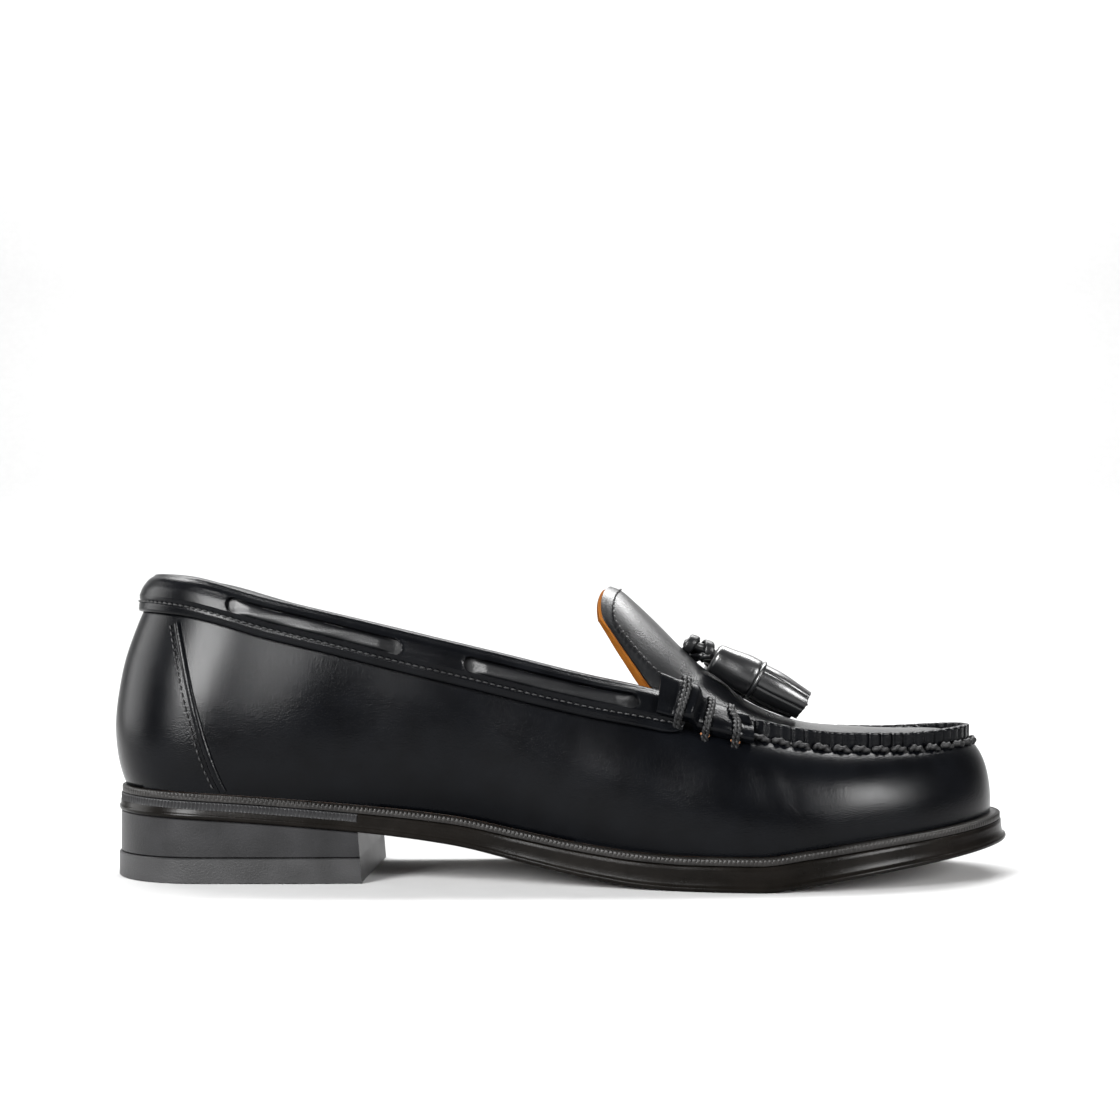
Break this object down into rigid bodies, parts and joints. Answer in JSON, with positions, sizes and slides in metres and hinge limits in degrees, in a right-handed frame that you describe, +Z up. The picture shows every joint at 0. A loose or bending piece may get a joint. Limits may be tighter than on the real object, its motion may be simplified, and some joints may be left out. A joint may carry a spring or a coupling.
{
  "type": "tassel loafer",
  "caption": "Black leather slip-on loafer with moc toe, beef rolls, a laced collar band, a pair of tassels on the tongue, leather sole and low stacked heel. Right shoe.",
  "frame": {"origin": "centre of the shoe's length and width, on the ground plane z = 0 that the heel and the forefoot stand on; the part is measured without knot, thongs and tassels", "axes": "+X from heel to toe, +Y to the shoe's inner side (the big toe's), +Z up"},
  "size_m": [0.3017, 0.104, 0.1006],
  "materials": {
    "upper_leather": "polished, fine grain",
    "thong_leather": "satin",
    "tassel_leather": "satin",
    "binding_thread": "waxed twisted cord",
    "lining_leather": "matte",
    "sole_leather": "satin dyed edge",
    "welt_leather": "satin",
    "heel_stack": "satin dyed stack",
    "lift_rubber": "satin"
  },
  "bodies": {
    "root": {"apron_tongue": "upper_leather", "beefroll_inner": "upper_leather", "beefroll_outer": "upper_leather", "binding_inner_1": "binding_thread", "binding_inner_2": "binding_thread", "binding_inner_3": "binding_thread", "binding_outer_1": "binding_thread", "binding_outer_2": "binding_thread", "binding_outer_3": "binding_thread", "collar_band": "upper_leather", "collar_lace": "thong_leather", "heel_block": "heel_stack", "heel_rand": "heel_stack", "insole": "lining_leather", "lace_knot": "thong_leather", "outsole": "sole_leather", "tassel_cap_inner": "upper_leather", "tassel_cap_outer": "upper_leather", "tassel_skirt_inner": "tassel_leather", "tassel_skirt_outer": "tassel_leather", "thong_inner": "thong_leather", "thong_outer": "thong_leather", "top_lift": "lift_rubber", "upper": "upper_leather", "welt": "welt_leather"}
  },
  "joints": []
}
